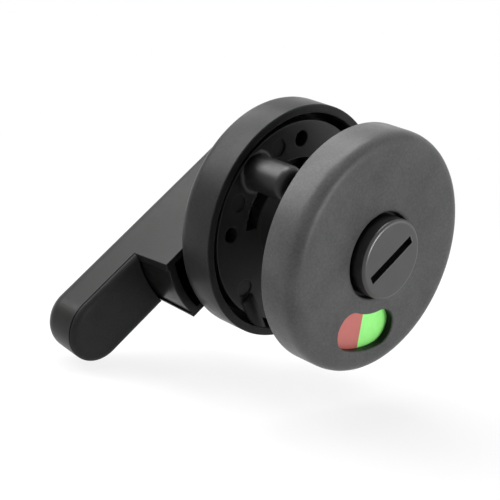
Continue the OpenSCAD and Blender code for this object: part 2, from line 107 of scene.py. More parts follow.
# %% [markdown]
# ## Rounded mouldings without booleans
# A moulding with holes can be cut with boolean modifiers, but those leave ragged faces that shade
# badly. Here each outline is a function that can grow or shrink by a distance. Rings of one outline
# at different heights make a wall with a rounded edge, and flat caps fill the space between the
# last rings. The result is one closed surface with edges that catch the light.

# %% Points and outlines
LATHE_STEPS = 240


def place(x, y, h):
    """A point of the plan, h out of the door, in the model's frame."""
    return Vector((x * MM, -h * MM, y * MM))


def polar(radius, angle):
    """A point of the plan at a distance from the axis, at an angle in degrees."""
    return radius * math.cos(math.radians(angle)), radius * math.sin(math.radians(angle))


def arc_points(centre, radius, start, end, steps):
    """Points along an arc, without its last point."""
    angles = [start + (end - start) * i / steps for i in range(steps)]
    return [(centre[0] + polar(radius, a)[0], centre[1] + polar(radius, a)[1]) for a in angles]


def circle(radius, centre=(0, 0), steps=LATHE_STEPS):
    """Outline of a circle."""
    return lambda grow=0.0: arc_points(centre, radius + grow, 0, 360, steps)


def turned(outline, angle):
    """The same outline turned about the axis."""
    c, s = polar(1, angle)
    return lambda grow=0.0: [(x * c - y * s, x * s + y * c) for x, y in outline(grow)]


print("a circle has", len(circle(1)()), "points")

# %% Walls, caps and edges
HOLD = 0.35
EDGE_STEPS = 8


def edge(h, radius, into, side, power=2.0):
    """Section of a rounded edge, from the flat face at h to the wall. into is the way into the
    material along h, and side is -1 for an outer edge or 1 for a hole. A power of 2 is an arc, and
    a higher one starts more softly. A ring that lies HOLD further on keeps the face's shading flat."""
    section = [(side * (radius + HOLD), h)]
    for i in range(EDGE_STEPS + 1):
        a = math.pi / 2 * i / EDGE_STEPS
        across = max(math.sin(a), 0) ** (2 / power)
        along = max(math.cos(a), 0) ** (2 / power)
        section.append((side * radius * (1 - across), h + into * radius * (1 - along)))
    return section


def at_radius(radius, section):
    """A section measured from a radius, as (radius, h) points for a lathe."""
    return [(radius + grow, h) for grow, h in section]


def ring(bm, points):
    """New vertices at the points of one ring."""
    return [bm.verts.new(point) for point in points]


def join(bm, rings):
    """Faces between rings of equal length. Returns the first and the last ring."""
    for low, high in zip(rings, rings[1:]):
        for i in range(len(low)):
            bm.faces.new((low[i - 1], low[i], high[i], high[i - 1]))
    return rings[0], rings[-1]


def wall(bm, outline, section):
    """A wall of one outline along a section of (grow, h) points."""
    return join(bm, [ring(bm, [place(x, y, h) for x, y in outline(grow)]) for grow, h in section])


def cap(bm, *loops):
    """A flat face between loops: the first outside, the others holes in it."""
    edges = []
    for loop in loops:
        for i in range(len(loop)):
            pair = (loop[i - 1], loop[i])
            edges.append(bm.edges.get(pair) or bm.edges.new(pair))
    bmesh.ops.triangle_fill(bm, use_beauty=True, edges=edges)


print("a rounded edge has", len(edge(0, 1, -1, -1)), "rings")

# %% Finish a moulding
SHARP_ANGLE = math.radians(32)
MERGE_DISTANCE = 1e-7


def piece(bm, name, node, body, slot, *materials):
    """Turns the faces outwards and puts a new piece in the place of a solid."""
    bmesh.ops.remove_doubles(bm, verts=bm.verts, dist=MERGE_DISTANCE)
    bmesh.ops.recalc_face_normals(bm, faces=bm.faces)
    mesh = bpy.data.meshes.new(name)
    bm.to_mesh(mesh)
    open_edges = sum(not e.is_manifold for e in bm.edges)
    bm.free()
    mesh.shade_smooth()
    mesh.set_sharp_from_angle(angle=SHARP_ANGLE)
    for material in materials:
        mesh.materials.append(material)
    obj = bpy.data.objects.new(name, mesh)
    bpy.context.scene.collection.objects.link(obj)
    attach(obj, body)
    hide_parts(node)
    print(f"{name}: {len(mesh.polygons)} faces, {open_edges} open edges")


print("edges sharper than", round(math.degrees(SHARP_ANGLE)), "degrees stay sharp")

# %% [markdown]
# ## Finishes
# The mouldings are charcoal nylon from tools with a fine spark-eroded grain: matt, with a soft
# sheen where they mirror something pale. A flat grey with a roughness would look like clay. So the
# finish has layers of noise: a grain half a millimetre wide as bump, a slow change of tone from the
# flow of the melt with fine speckles in it, and a change of roughness from handling.

# %% Node helpers
NOISE_LOW = 0.3
NOISE_HIGH = 0.7


def node_tree(name):
    """A new material, its tree and its shader."""
    material = bpy.data.materials.new(name)
    material.use_nodes = True
    tree = material.node_tree
    return material, tree, tree.nodes["Principled BSDF"]


def add(tree, kind, inputs=None, **settings):
    """A node of a kind, with its settings and with values or links for its inputs."""
    node = tree.nodes.new(kind)
    for key, value in settings.items():
        setattr(node, key, value)
    for key, value in (inputs or {}).items():
        if isinstance(value, bpy.types.NodeSocket):
            tree.links.new(value, node.inputs[key])
        else:
            node.inputs[key].default_value = value
    return node


def noise(tree, size, detail=2.0):
    """Noise whose blobs are about size millimetres wide, fixed to the piece."""
    where = add(tree, "ShaderNodeTexCoord").outputs["Object"]
    inputs = {"Vector": where, "Scale": 1 / (size * MM), "Detail": detail}
    return add(tree, "ShaderNodeTexNoise", inputs).outputs["Fac"]


def between(tree, fac, low, high):
    """A value that runs between two values as a noise does."""
    inputs = {"Value": fac, "From Min": NOISE_LOW, "From Max": NOISE_HIGH, "To Min": low, "To Max": high}
    return add(tree, "ShaderNodeMapRange", inputs).outputs["Result"]


def tones(tree, fac, dark, light):
    """A colour that runs between two colours as a noise does."""
    ramp = add(tree, "ShaderNodeValToRGB", {"Fac": fac})
    ramp.color_ramp.elements[0].position = NOISE_LOW
    ramp.color_ramp.elements[1].position = NOISE_HIGH
    ramp.color_ramp.elements[0].color = (*dark, 1)
    ramp.color_ramp.elements[1].color = (*light, 1)
    return ramp.outputs["Color"]


def bump(tree, height, depth):
    """A bump of a depth in millimetres."""
    inputs = {"Height": height, "Distance": depth * MM, "Strength": 1.0}
    return add(tree, "ShaderNodeBump", inputs).outputs["Normal"]


print(f"a noise runs from {NOISE_LOW} to {NOISE_HIGH}")

# %% Moulded nylon
GRAIN_SIZE = 0.5
SPECKLE_SIZE = 0.6
FLOW_SIZE = 9.0
HANDLING_SIZE = 3.0
SPECKLE_SHARE = 0.5
TONE_SPREAD = 0.28
GLOSS_SPREAD = 0.04


def nylon(name, tone, roughness, sheen, grain):
    """Moulded nylon of one tone, with a grain of a depth in millimetres."""
    material, tree, shader = node_tree(name)
    # The mixing node has its share at input 0 and its two numbers at inputs 2 and 3.
    layers = {0: SPECKLE_SHARE, 2: noise(tree, FLOW_SIZE, detail=4), 3: noise(tree, SPECKLE_SIZE)}
    flow = add(tree, "ShaderNodeMix", layers).outputs[0]
    dark = [c * (1 - TONE_SPREAD) for c in tone]
    light = [c * (1 + TONE_SPREAD) for c in tone]
    tree.links.new(tones(tree, flow, dark, light), shader.inputs["Base Color"])
    handled = noise(tree, HANDLING_SIZE, detail=3)
    worn = between(tree, handled, roughness - GLOSS_SPREAD, roughness + GLOSS_SPREAD)
    tree.links.new(worn, shader.inputs["Roughness"])
    shader.inputs["Specular IOR Level"].default_value = sheen
    tree.links.new(bump(tree, noise(tree, GRAIN_SIZE), grain), shader.inputs["Normal"])
    return material


# Each has a tone, a roughness, a sheen and a depth of grain.
rose_nylon = nylon("rose_nylon", (0.067, 0.067, 0.068), 0.36, 0.14, 0.024)
# Painted shade: a much darker tone for the walls of the two openings, where shade falls.
opening_wall_shade = nylon("opening_wall_shade", (0.008, 0.008, 0.0082), 0.40, 0.10, 0.004)
inside_nylon = nylon("inside_nylon", (0.019, 0.019, 0.0193), 0.34, 0.10, 0.026)
lever_nylon = nylon("lever_nylon", (0.0082, 0.0082, 0.0078), 0.34, 0.13, 0.024)
plate_nylon = nylon("plate_nylon", (0.011, 0.011, 0.0112), 0.38, 0.28, 0.018)
pad_nylon = nylon("pad_nylon", (0.0125, 0.0125, 0.0132), 0.48, 0.09, 0.036)
coin_nylon = nylon("coin_nylon", (0.004, 0.004, 0.0041), 0.32, 0.80, 0.014)
# Partly coin wear, partly painted highlight: a pale tone for the slot's bevels.
worn_and_highlight_nylon = nylon("worn_and_highlight_nylon", (0.09, 0.09, 0.091), 0.38, 0.80, 0.006)
bush_acetal = nylon("bush_acetal", (0.010, 0.010, 0.010), 0.35, 0.3, 0.004)
disc_plastic = nylon("disc_plastic", (0.010, 0.010, 0.010), 0.45, 0.2, 0.004)
print("nylons made, with a grain", GRAIN_SIZE, "mm wide")

# %% [markdown]
# ## Outside rose
# A shallow cap with a big round on its front edge, a hole for the coin turn and a kidney-shaped
# window. Its wall turns like a lathe's work, from the front edge over the rim and up the inside.
# The rim's inner wall swells into three snap beads that hold the base plate. The walls of the two
# openings were closed off by polished steel in the tool, so they have hardly any grain. Their much
# darker tone is painted shade, standing in for the shade that falls inside the openings.

# %% Name the outside rose's sizes
outside_edge_r = 4.4
outside_edge_power = 2.5
rim_edge_r = 0.35
coin_r = 10.8
coin_gap = 0.8
ROUND_STEPS = 160
coin_hole = circle(coin_r + coin_gap, steps=ROUND_STEPS)
hole_edge_r = 0.9
window_r = 21.0
window_half = 5.1
window_end = 16.0
window_edge_r = 0.4
WINDOW_SIDE_STEPS = 24
WINDOW_END_STEPS = 32
plate_recess = 1.35
outside_plate_t = 2.5
outside_plate_back = door_side + plate_recess
outside_plate_front = outside_plate_back + outside_plate_t
disc_room_r = 28.1
bead_h = 0.9
bead_reach = 0.8
bead_ramp = 0.05
bead_angle = 24
bead_start = 30
bead_step = 120
lathe = circle(0)
print(f"coin turn's hole {2 * (coin_r + coin_gap):.1f} wide, window {2 * window_half:.1f} high")

# %% Outlines of the window and the beads
def window(grow=0.0):
    """Outline of the window, at the bottom of the rose."""
    half = window_half + grow
    first, last = -90 - window_end, -90 + window_end
    points = arc_points((0, 0), window_r + half, first, last, WINDOW_SIDE_STEPS)
    points += arc_points(polar(window_r, last), half, last, last + 180, WINDOW_END_STEPS)
    points += arc_points((0, 0), window_r - half, last, first, WINDOW_SIDE_STEPS)
    return points + arc_points(polar(window_r, first), half, first + 180, first + 360, WINDOW_END_STEPS)


def beads(grow=0.0):
    """A circle that steps in at the three snap beads."""
    points = []
    for i, (x, y) in enumerate(circle(rim_in_r)()):
        turn = (360 * i / LATHE_STEPS - bead_start) % bead_step
        share = (rim_in_r + (grow if turn <= bead_angle else 0)) / rim_in_r
        points.append((x * share, y * share))
    return points


print("the window has", len(window()), "points")

# %% Make the outside rose
def make_outside_cover():
    """The turned wall, the walls of the two openings, and a cap in front and behind."""
    bm = bmesh.new()
    profile = at_radius(rose_r, edge(outside_front, outside_edge_r, -1, -1, outside_edge_power))
    profile += reversed(at_radius(rose_r, edge(door_side, rim_edge_r, 1, -1)))
    profile += at_radius(rim_in_r, edge(door_side, rim_edge_r, 1, 1))
    bead_foot = outside_plate_back - bead_h
    bead_section = [(0, bead_foot - bead_ramp), (-bead_reach, bead_foot + bead_h / 2)]
    bead_section += [(-bead_reach, outside_plate_back), (0, outside_plate_back + bead_ramp)]
    inner = [(rim_in_r, outside_plate_front), (disc_room_r, outside_plate_front)]
    inner += [(disc_room_r, outside_floor)]
    rings = [ring(bm, [place(x, y, h) for x, y in lathe(r)]) for r, h in profile]
    rings += [ring(bm, [place(x, y, h) for x, y in beads(grow)]) for grow, h in bead_section]
    rings += [ring(bm, [place(x, y, h) for x, y in lathe(r)]) for r, h in inner]
    front, floor = join(bm, rings)
    turned_faces = set(bm.faces)
    coin = wall(bm, coin_hole, edge(outside_front, hole_edge_r, -1, 1) + [(0, outside_floor)])
    kidney = wall(bm, window, edge(outside_front, window_edge_r, -1, 1) + [(0, outside_floor)])
    # The walls of the openings, below their rounded edges, get the painted shade.
    for face in set(bm.faces) - turned_faces:
        if -face.calc_center_median().y < (outside_front - window_edge_r) * MM:
            face.material_index = 1
    cap(bm, front, coin[0], kidney[0])
    cap(bm, floor, coin[1], kidney[1])
    piece(bm, "outside_rose", "outside_cover", "roses", "rose_nylon", rose_nylon, opening_wall_shade)


make_outside_cover()

# %% [markdown]
# ## Coin turn
# A knob with a slot wide enough for a coin, on a flange and a stem. The slot's edges are bevelled so
# that the coin finds its way in. These thin bevels have a pale finish of their own: partly the wear that
# coins rub in, partly a painted highlight along the slot's edges.

# %% Name the coin turn's sizes
coin_edge_r = 1.0
flange_r = 13.5
slide_gap = 0.1
flange_back = outside_plate_front + slide_gap
stem_r = 7.0
groove_r = 6.2
groove_rise = 0.26
groove_w = 0.58
groove_low = door_side + groove_rise
groove_high = groove_low + groove_w
slot_l = 16.4
slot_w = 2.4
slot_depth = 2.8
slot_bevel = 0.2
socket_w = 6.08
socket_floor = 1.3
socket_end = coin_front - slot_depth - socket_floor
SIDE_STEPS = 4
print(f"coin slot {slot_l} by {slot_w}, {slot_depth} deep")

# %% Make the coin turn
def rectangle(length, width, angle):
    """Outline of a rectangle at an angle, with points along its sides."""
    def outline(grow=0.0):
        x, y = length / 2 + grow, width / 2 + grow
        corners = [(x, y), (-x, y), (-x, -y), (x, -y)]
        shares = [k / SIDE_STEPS for k in range(SIDE_STEPS)]
        points = []
        for i, (x0, y0) in enumerate(corners):
            x1, y1 = corners[(i + 1) % len(corners)]
            points += [(x0 + (x1 - x0) * share, y0 + (y1 - y0) * share) for share in shares]
        return points
    return turned(outline, angle)


def make_coin_turn():
    """The turned knob, flange and stem, with the coin slot in front and a square socket behind."""
    bm = bmesh.new()
    profile = at_radius(coin_r, edge(coin_front, coin_edge_r, -1, -1))
    profile += [(coin_r, disc_back), (flange_r, disc_back), (flange_r, flange_back)]
    profile += [(stem_r, flange_back), (stem_r, groove_high), (groove_r, groove_high)]
    profile += [(groove_r, groove_low), (stem_r, groove_low), (stem_r, stem_end)]
    knob = wall(bm, circle(0, steps=ROUND_STEPS), profile)
    section = [(slot_bevel + HOLD, coin_front), (slot_bevel, coin_front)]
    section += [(0, coin_front - slot_bevel), (0, coin_front - slot_depth)]
    turned_faces = set(bm.faces)
    slot = wall(bm, rectangle(slot_l, slot_w, slot_angle), section)
    # The slot's bevels get the pale finish, which is partly wear and partly a painted highlight.
    bevel_middle = coin_front - slot_bevel / 2
    for face in set(bm.faces) - turned_faces:
        if abs(-face.calc_center_median().y / MM - bevel_middle) < slot_bevel / 4:
            face.material_index = 1
    socket = wall(bm, rectangle(socket_w, socket_w, lever_angle), [(0, stem_end), (0, socket_end)])
    cap(bm, knob[0], slot[0])
    cap(bm, slot[1])
    cap(bm, knob[1], socket[0])
    cap(bm, socket[1])
    piece(bm, "coin_knob", "coin_turn", "indicator", "coin_turn_nylon", coin_nylon, worn_and_highlight_nylon)


make_coin_turn()

# %% [markdown]
# ## Inside rose
# The same kind of cap, deeper, with its round on the rear. It is a closed turning: rear face, rim,
# inner wall, floor and the bore for the bush. Two half-round catches grow out of the rim and lap
# over the base plate.

# %% Name the inside rose's sizes
inside_edge_r = 3.6
bush_hole_r = 9.3
ledge_out_r = 28.04
ledge_in_r = 27.2
catch_w = 4.4
catch_h = 1.15
catch_start_r = 24.5
catch_angle = -121.0
catch_skew = 68.0
catch_step = 139.0
catch_root_r = rose_r - rim_wall / 2
CATCH_STEPS = 16
# Distances from the nose with the share of the full size there. None stands for the rim.
catch_nose = [(0, 0.82), (0.1, 0.93), (0.3, 1.0), (None, 1.0)]
print(f"catches {catch_w} wide, from radius {catch_start_r} to {catch_root_r:.2f}")

# %% Make the inside rose
def reach_rim(spot, along):
    """Distance from a spot of the plan to the middle of the rim, along a direction."""
    ahead = spot.dot(along)
    return -ahead + math.sqrt(ahead ** 2 - spot.length_squared + catch_root_r ** 2)


def make_catch(bm, angle):
    """A lying half-round tongue with a blunt nose, cut off inside the rim."""
    start = Vector(polar(catch_start_r, angle))
    along = Vector(polar(1, angle + catch_skew))
    across = Vector((-along.y, along.x))
    rings = []
    for distance, size in catch_nose:
        points = []
        for i in range(CATCH_STEPS + 1):
            a = math.pi * i / CATCH_STEPS
            spot = start + across * (math.cos(a) * size * catch_w / 2)
            spot += along * (reach_rim(spot, along) if distance is None else distance)
            rise = math.sin(a) * size
            points.append(place(spot.x, spot.y, plate_front + rise * catch_h))
        rings.append(ring(bm, points))
    first, last = join(bm, rings)
    bm.faces.new(first)
    bm.faces.new(last)


def make_inside_cover():
    """One closed turning and its two catches."""
    bm = bmesh.new()
    profile = at_radius(rose_r, edge(inside_rear, inside_edge_r, 1, -1))
    profile += reversed(at_radius(rose_r, edge(inside_rim, rim_edge_r, -1, -1)))
    profile += at_radius(rim_in_r, edge(inside_rim, rim_edge_r, -1, 1))
    profile += [(rim_in_r, inside_floor), (ledge_out_r, inside_floor), (ledge_out_r, plate_back)]
    profile += [(ledge_in_r, plate_back), (ledge_in_r, inside_floor), (bush_hole_r, inside_floor)]
    profile += [(bush_hole_r, inside_rear), profile[0]]
    wall(bm, lathe, profile)
    for turn in (0, catch_step):
        make_catch(bm, catch_angle + turn)
    piece(bm, "inside_rose", "inside_cover", "roses", "inside_nylon", inside_nylon)


make_inside_cover()

# %% [markdown]
# ## Inside base plate
# A black disc with four screw holes, two pillars for the through bolts, the arc slot that stops the
# lever, and the shallow round marks that ejector pins leave. A fillet runs round each pillar's foot
# and has to get narrow where the plate's edge and the slot come close.

# %% Name the base plate's sizes
plate_r = 28.0
plate_edge_r = 0.3
fixing_r = 23.0
fixing_turn = 7.0
screw_hole_r = 2.25
bolt_hole_r = 1.95
pillar_r = 4.8
pillar_nose_r = 2.6
pillar_mouth_r = 2.6
pillar_mouth_depth = 4.0
pillar_fillet = 1.6
mark_r = 2.5
mark_depth = 0.3
mark_angle = 23.5
mark_edge_r = 0.1
mark_inset = 0.2
mark_turns = (-mark_angle, mark_angle, 90)
pillar_turns = (135, 315)
screw_turns = (0, 90, 180, 270)
centre_hole_r = 5.7
recess_r = 12.5
recess_depth = 1.0
stop_in_r = 13.6
stop_out_r = 17.7
stop_start = 79.0
stop_end = 187.0
fine_edge_r = 0.15
fillet_spare = 0.02
nose_sweep = 80
mouth_bevel = 0.1
STOP_STEPS = 60
PILLAR_STEPS = 72
NOSE_STEPS = 12
HOLE_STEPS = 64
NECK_STEPS = 96
print(f"base plate from {plate_back:.2f} to {plate_front:.2f}, pillars to {pillar_end:.2f}")

# %% Outlines on the base plate
def stop_slot(grow=0.0):
    """Outline of the arc slot, with square ends."""
    spare = math.degrees(grow / stop_in_r)
    first, last = stop_start - spare, stop_end + spare
    points = arc_points((0, 0), stop_out_r + grow, first, last, STOP_STEPS)
    points.append(polar(stop_out_r + grow, last))
    points += arc_points((0, 0), stop_in_r - grow, last, first, STOP_STEPS)
    points.append(polar(stop_in_r - grow, first))
    return points


def fillet_room(angle, direction):
    """Radius of the fillet round a pillar in one direction, where edge and slot leave room."""
    x, y = polar(fixing_r, angle)
    dx, dy = polar(1, direction)
    toward = x * dx + y * dy
    edge_r = plate_r - plate_edge_r - fillet_spare
    room = -toward + math.sqrt(toward ** 2 - fixing_r ** 2 + edge_r ** 2)
    slot_r = stop_out_r + fine_edge_r + HOLD / 2
    meets_slot = toward ** 2 - fixing_r ** 2 + slot_r ** 2
    if toward < 0 < meets_slot:
        room = min(room, -toward - math.sqrt(meets_slot))
    return max(fillet_spare, min(pillar_fillet, room - pillar_r))


print("the arc slot has", len(stop_slot()), "points")

# %% Make the inside base plate
def make_pillar(bm, angle):
    """A pillar with a fillet, a round nose and a stepped bore. Returns its two end loops."""
    centre = polar(fixing_r, angle)
    turns = [360 * i / PILLAR_STEPS for i in range(PILLAR_STEPS)]
    rooms = [fillet_room(angle, t) for t in turns]
    rings = []
    for k in range(EDGE_STEPS + 1):
        a = math.pi / 2 * k / EDGE_STEPS
        points = []
        for turn, room in zip(turns, rooms):
            x, y = polar(pillar_r + room * (1 - math.sin(a)), turn)
            points.append(place(centre[0] + x, centre[1] + y, plate_front + room * (1 - math.cos(a))))
        rings.append(ring(bm, points))
    nose_start = pillar_end - pillar_nose_r
    section = []
    for k in range(NOSE_STEPS + 1):
        a = math.radians(nose_sweep * k / NOSE_STEPS)
        radius = pillar_r - pillar_nose_r * (1 - math.cos(a))
        section.append((radius, nose_start + pillar_nose_r * math.sin(a)))
    mouth_floor = pillar_end - pillar_mouth_depth
    section += [(pillar_mouth_r, section[-1][1] - mouth_bevel), (pillar_mouth_r, mouth_floor)]
    section += [(bolt_hole_r, mouth_floor), (bolt_hole_r, plate_back)]
    for r, h in section:
        rings.append(ring(bm, [place(x, y, h) for x, y in circle(r, centre, PILLAR_STEPS)()]))
    return join(bm, rings)


def make_base_plate():
    """The rim, the recess round the axis, the holes, the pillars and the marks, between two caps."""
    bm = bmesh.new()
    section = edge(plate_front, plate_edge_r, -1, -1)[1:] + [(0, plate_back)]
    rim = wall(bm, circle(plate_r), section)
    front, back = [rim[0]], [rim[1]]
    fine_edge = edge(plate_front, fine_edge_r, -1, 1)
    recess_floor = plate_front - recess_depth
    recess = wall(bm, circle(recess_r, steps=ROUND_STEPS), fine_edge + [(0, recess_floor)])
    middle = wall(bm, circle(centre_hole_r, steps=NECK_STEPS), [(0, recess_floor), (0, plate_back)])
    cap(bm, recess[1], middle[0])
    front.append(recess[0])
    back.append(middle[1])
    holes = [stop_slot]
    for turn in screw_turns:
        holes.append(circle(screw_hole_r, polar(fixing_r, fixing_turn + turn), HOLE_STEPS))
    for hole in holes:
        loops = wall(bm, hole, fine_edge + [(0, plate_back)])
        front.append(loops[0])
        back.append(loops[1])
    mark_floor = plate_front - mark_depth
    mark_section = edge(plate_front, mark_edge_r, -1, 1) + [(0, mark_floor), (-mark_inset, mark_floor)]
    for turn in pillar_turns:
        pillar_angle = fixing_turn + turn
        loops = make_pillar(bm, pillar_angle)
        front.append(loops[0])
        back.append(loops[1])
        for beside in mark_turns:
            mark = circle(mark_r, polar(fixing_r, pillar_angle + beside), HOLE_STEPS)
            loops = wall(bm, mark, mark_section)
            front.append(loops[0])
            cap(bm, loops[1])
    cap(bm, *front)
    cap(bm, *back)
    piece(bm, "base_plate", "inside_base_plate", "roses", "plate_nylon", plate_nylon)


make_base_plate()

# %% [markdown]
# ## Lever
# One hollow moulding: a paddle that the hand turns, and a deeper block over the axis, whose end is
# an arc round that axis. Between the block's cheeks the end is set back a little. The sides have
# draft: they come in towards the back, so that the moulding leaves its tool. The paddle's outline
# runs all the way round. Where the block stands on it, the block's wall grows out of the paddle's
# own vertices, so that the long side stays one flat face.

# %% Lever outlines
lever_half = 10.5
lever_draft = math.radians(4.4)
lever_tail_x = -8.03
lever_tip_x = 54.23
step_r = 35.6
step_rebate = 0.5
cheek = 2.0
corner_r = 0.25
corner_start = -75
# How far the soft corner into the rebate lies inside the step and outside the rebate's side.
rebate_corner = [(0, 0.25), (0.05, 0.08), (0.2, 0)]
lever_gap = 1.3
pad_t = 2.05
lever_front = inside_rear - lever_gap
seam = pad_top - pad_t
lever_edge_r = 4.6
block_edge_r = 0.3
TAIL_STEPS = 48
CORNER_STEPS = 4
STEP_STEPS = 10


def reach(radius, y):
    """x of a point on an arc about the axis, at a given y."""
    return math.sqrt(radius ** 2 - y ** 2)


def lean(h):
    """Distance that the draft has moved the sides at a height, which is negative inwards."""
    return math.tan(lever_draft) * (h - lever_front)


def tail_side(grow, side):
    """The outline round the tail, from the upper cheek to the lower one. side is the sides' lean."""
    half = lever_half + grow + side
    start = reach(step_r + grow, half) - corner_r
    points = [(start, half)]
    points += arc_points((lever_tail_x, 0), half, 90, 270, TAIL_STEPS)
    return points + [(lever_tail_x, -half), (start, -half)]


def tip_side(side):
    """The outline round the tip, from the lower cheek to the upper one."""
    half = lever_half + side
    points = arc_points((lever_tip_x, 0), half, -90, 90, TAIL_STEPS)
    return points + [(lever_tip_x, half)]


def step_side(grow, side):
    """The outline of the step, from the lower cheek to the upper one."""
    half = lever_half + grow + side
    outer, inner, middle = step_r + grow, step_r - step_rebate + grow, lever_half - cheek + side
    x = reach(outer, half)
    lower = arc_points((x - corner_r, -half + corner_r), corner_r, corner_start, 0, CORNER_STEPS)
    inside = reach(outer, middle)
    lower += [(inside - dx, -middle - dy) for dx, dy in rebate_corner]
    levels = [middle * k / STEP_STEPS for k in range(-STEP_STEPS, STEP_STEPS + 1)]
    arc = [(reach(inner, y), y) for y in levels]
    upper = [(px, -py) for px, py in reversed(lower)]
    return lower + arc + upper


def paddle(side=0.0):
    """Outline of the paddle, with its sides moved by the draft."""
    return turned(lambda lean_in: tail_side(0, lean_in) + tip_side(lean_in), lever_angle)(side)


def block(grow, side):
    """Outline of the block over the axis, with its sides moved by the draft."""
    return turned(lambda g: tail_side(g, side) + step_side(g, side), lever_angle)(grow)


print("paddle", len(paddle()), "points, block", len(block(0, 0)), "points")

# %% Make the lever
step_in_r = 32.7
hollow_half = 8.5
back_wall = 2.0
hollow_floor = lever_back + back_wall
boss_r = 9.6
neck_r = 8.0
HOLLOW_STEPS = 8


def hollow(grow=0.0):
    """Outline of the hollow in the block, between the boss over the axis and the step."""
    half = hollow_half + grow
    levels = [half * k / HOLLOW_STEPS for k in range(-HOLLOW_STEPS, HOLLOW_STEPS + 1)]
    far = [(reach(step_in_r + grow, y), y) for y in levels]
    return far + [(reach(boss_r - grow, y), y) for y in reversed(levels)]


def make_lever():
    """The paddle, the block that grows out of it, the hollow and the neck."""
    bm = bmesh.new()
    round_lean = lean(lever_back + lever_edge_r)
    section = [(grow + round_lean, h) for grow, h in edge(lever_back, lever_edge_r, 1, -1)]
    back, top = wall(bm, paddle, section + [(lean(seam), seam)])
    cap(bm, back)
    tail_count = len(tail_side(0, 0))
    tail, tip = top[:tail_count], top[tail_count:]
    step_outline = turned(lambda g: step_side(g, lean(seam)), lever_angle)
    step = ring(bm, [place(x, y, seam) for x, y in step_outline()])
    cap(bm, [tail[-1]] + tip + [tail[0]] + step[::-1])
    rings = [tail + step]
    for grow, h in reversed(edge(lever_front, block_edge_r, -1, -1)):
        rings.append(ring(bm, [place(x, y, h) for x, y in block(grow, lean(h))]))
    face = join(bm, rings)[1]
    mouth_section = edge(lever_front, fine_edge_r, -1, 1) + [(lean(hollow_floor), hollow_floor)]
    mouth = wall(bm, turned(hollow, lever_angle), mouth_section)
    neck = wall(bm, circle(neck_r, steps=NECK_STEPS), [(0, lever_front), (0, neck_end)])
    cap(bm, face, mouth[0], neck[0])
    cap(bm, mouth[1])
    cap(bm, neck[1])
    piece(bm, "lever_moulding", "lever", "lever", "lever_nylon", lever_nylon)


make_lever()

# %% [markdown]
# ## Lever pad
# A separate black cap closes the paddle. Its edge falls away in a long soft round along the paddle's
# outline and is nearly square where it meets the step. It stands a hair inside the lever's edge at
# the seam, which gives the thin dark line that two mouldings always show where they meet.

# %% Make the lever pad
pad_half = lever_half + lean(seam)
pad_edge_r = 1.7
pad_edge_reach = 1.3
pad_gap = 0.1
seam_inset = 0.45
square_share = 0.12
PAD_END_STEPS = 12


def pad_outline(grow=0.0):
    """Outline of the pad: round the tip, then back along the step's arc."""
    half = pad_half + grow
    points = arc_points((lever_tip_x, 0), half, -90, 90, TAIL_STEPS) + [(lever_tip_x, half)]
    end_r = step_r + pad_gap - square_share * grow
    levels = [half * k / PAD_END_STEPS for k in range(PAD_END_STEPS, -PAD_END_STEPS - 1, -1)]
    return points + [(reach(end_r, y), y) for y in levels]


def make_pad():
    """The pad's wall, from its rounded edge down to the groove at the seam, between two caps."""
    bm = bmesh.new()
    section = [(grow * pad_edge_reach, h) for grow, h in edge(pad_top, pad_edge_r, -1, -1)]
    section += [(0, seam + seam_inset), (-seam_inset, seam + seam_inset / 2), (-2 * seam_inset, seam)]
    top, foot = wall(bm, turned(pad_outline, lever_angle), section)
    cap(bm, top)
    cap(bm, foot)
    piece(bm, "paddle_pad", "lever_pad", "lever", "pad_nylon", pad_nylon)


make_pad()

# %% [markdown]
# ## Colours behind the window
# The red and the green are printed films on the disc behind the window. Print is never quite even:
# a fine grain of the film and a slow change of tone keep the two fields from looking like paint.

# %% Printed films
FILM_DARK = 0.93
FILM_TONE_SIZE = 2.5
FILM_GLOSS_SIZE = 1.2
FILM_GRAIN_SIZE = 0.2
FILM_GRAIN = 0.002
film_roughness = (0.32, 0.42)


def film(name, tone):
    """A printed film: a slow change of tone, an uneven gloss and a fine grain."""
    material, tree, shader = node_tree(name)
    dark = [c * FILM_DARK for c in tone]
    print_tone = tones(tree, noise(tree, FILM_TONE_SIZE, detail=3), dark, tone)
    tree.links.new(print_tone, shader.inputs["Base Color"])
    gloss = between(tree, noise(tree, FILM_GLOSS_SIZE), *film_roughness)
    tree.links.new(gloss, shader.inputs["Roughness"])
    tree.links.new(bump(tree, noise(tree, FILM_GRAIN_SIZE), FILM_GRAIN), shader.inputs["Normal"])
    return material


red_film = film("red_film", (0.475, 0.117, 0.100))
green_film = film("green_film", (0.29, 0.90, 0.205))
print("films made:", red_film.name, green_film.name)

# %% [markdown]
# ## Metal inside
# The spindle, bolts, clips, screws and inserts are steel and brass, and some of them show between
# the roses. Plated steel is pale, spring steel is darker, and the bolts are blackened. All have a
# very fine grain, because a perfectly smooth metal looks like a mirror.

# %% Metals
METAL_DARK = 0.8
METAL_TONE_SIZE = 1.5
METAL_GLOSS_SIZE = 0.6
METAL_GLOSS_SPREAD = 0.08
METAL_GRAIN_SIZE = 0.12
METAL_GRAIN = 0.002


def metal(name, tone, roughness, metallic=1.0):
    """A metal of one tone: small changes of tone, an uneven gloss and a very fine grain."""
    material, tree, shader = node_tree(name)
    shader.inputs["Metallic"].default_value = metallic
    dark = [c * METAL_DARK for c in tone]
    metal_tone = tones(tree, noise(tree, METAL_TONE_SIZE, detail=4), dark, tone)
    tree.links.new(metal_tone, shader.inputs["Base Color"])
    uneven = noise(tree, METAL_GLOSS_SIZE, detail=3)
    gloss = between(tree, uneven, roughness - METAL_GLOSS_SPREAD, roughness + METAL_GLOSS_SPREAD)
    tree.links.new(gloss, shader.inputs["Roughness"])
    tree.links.new(bump(tree, noise(tree, METAL_GRAIN_SIZE), METAL_GRAIN), shader.inputs["Normal"])
    return material


